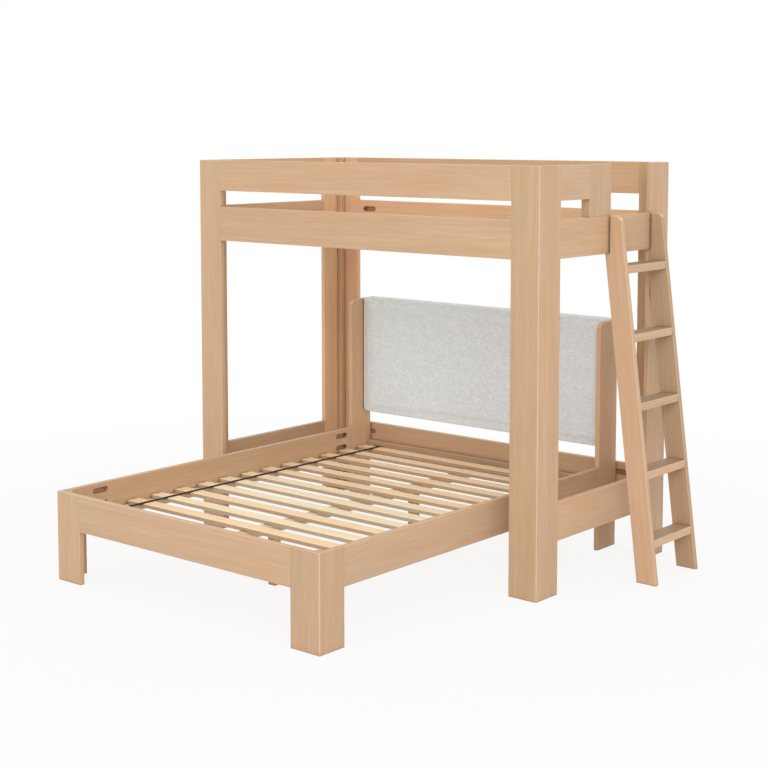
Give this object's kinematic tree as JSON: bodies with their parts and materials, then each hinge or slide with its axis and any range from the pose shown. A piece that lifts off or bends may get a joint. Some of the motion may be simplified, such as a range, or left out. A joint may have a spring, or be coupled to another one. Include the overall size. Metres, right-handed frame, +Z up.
{
  "type": "bunk bed",
  "caption": "Loft bed on L-section corner posts with an end ladder, over a separate crosswise low bed with an upholstered headboard.",
  "frame": {"origin": "centre of the whole object's box, on the floor", "axes": "+X along the loft from its plain end to its ladder end, +Y from the low bed's foot to the loft's back, +Z up"},
  "size_m": [2.363, 2.18, 1.885],
  "materials": {
    "oak": "satin lacquered pale oak with a fine straight grain",
    "slat_wood": "bare planed softwood, paler and yellower",
    "dowel_wood": "bare beech",
    "core_board": "raw plywood",
    "upholstery": "heathered light grey woven cloth over foam",
    "webbing": "near-black woven strap",
    "steel": "zinc plated",
    "fasteners": "zinc plated"
  },
  "bodies": {
    "loft": {"back_guard": "oak", "back_rail": "oak", "back_stretcher": "oak", "front_guard": "oak", "front_rail": "oak", "guard_dowels": "dowel_wood", "guard_stile": "oak", "ladder_spacers": "steel", "ladder_stringer_left": "oak", "ladder_stringer_right": "oak", "ladder_tread_1": "oak", "ladder_tread_2": "oak", "ladder_tread_3": "oak", "ladder_tread_4": "oak", "ladder_tread_5": "oak", "left_guard": "oak", "left_rail": "oak", "left_stretcher": "oak", "loft_bolts": "fasteners", "loft_inserts": "fasteners", "post_back_left_face": "oak", "post_back_left_side": "oak", "post_back_right_face": "oak", "post_back_right_side": "oak", "post_corner_blocks": "oak", "post_front_left_face": "oak", "post_front_left_side": "oak", "post_front_right_face": "oak", "post_front_right_side": "oak", "right_guard": "oak", "right_rail": "oak", "right_stretcher": "oak", "stile_backer": "oak", "tread_dowels": "dowel_wood", "upper_beam": "slat_wood", "upper_ledgers": "slat_wood", "upper_slat_screws": "fasteners", "upper_slats": "slat_wood"},
    "low_bed": {"bed_beam": "slat_wood", "bed_bolts": "fasteners", "bed_centre_legs": "oak", "bed_inserts": "fasteners", "bed_ledgers": "slat_wood", "bed_rail_left": "oak", "bed_rail_right": "oak", "bed_screws": "fasteners", "bed_slats": "slat_wood", "foot_leg_blocks": "oak", "foot_leg_left_face": "oak", "foot_leg_left_side": "oak", "foot_leg_right_face": "oak", "foot_leg_right_side": "oak", "foot_rail": "oak", "head_rail": "oak", "head_upright_left": "oak", "head_upright_right": "oak", "headboard_core": "core_board", "headboard_pad": "upholstery", "headboard_plates": "steel", "slat_straps": "webbing"}
  },
  "joints": [
    {"name": "low_bed_slide", "type": "slide", "parent": "loft", "child": "low_bed", "axis": [0, -1, 0], "range_m": [0, 1.1]}
  ]
}
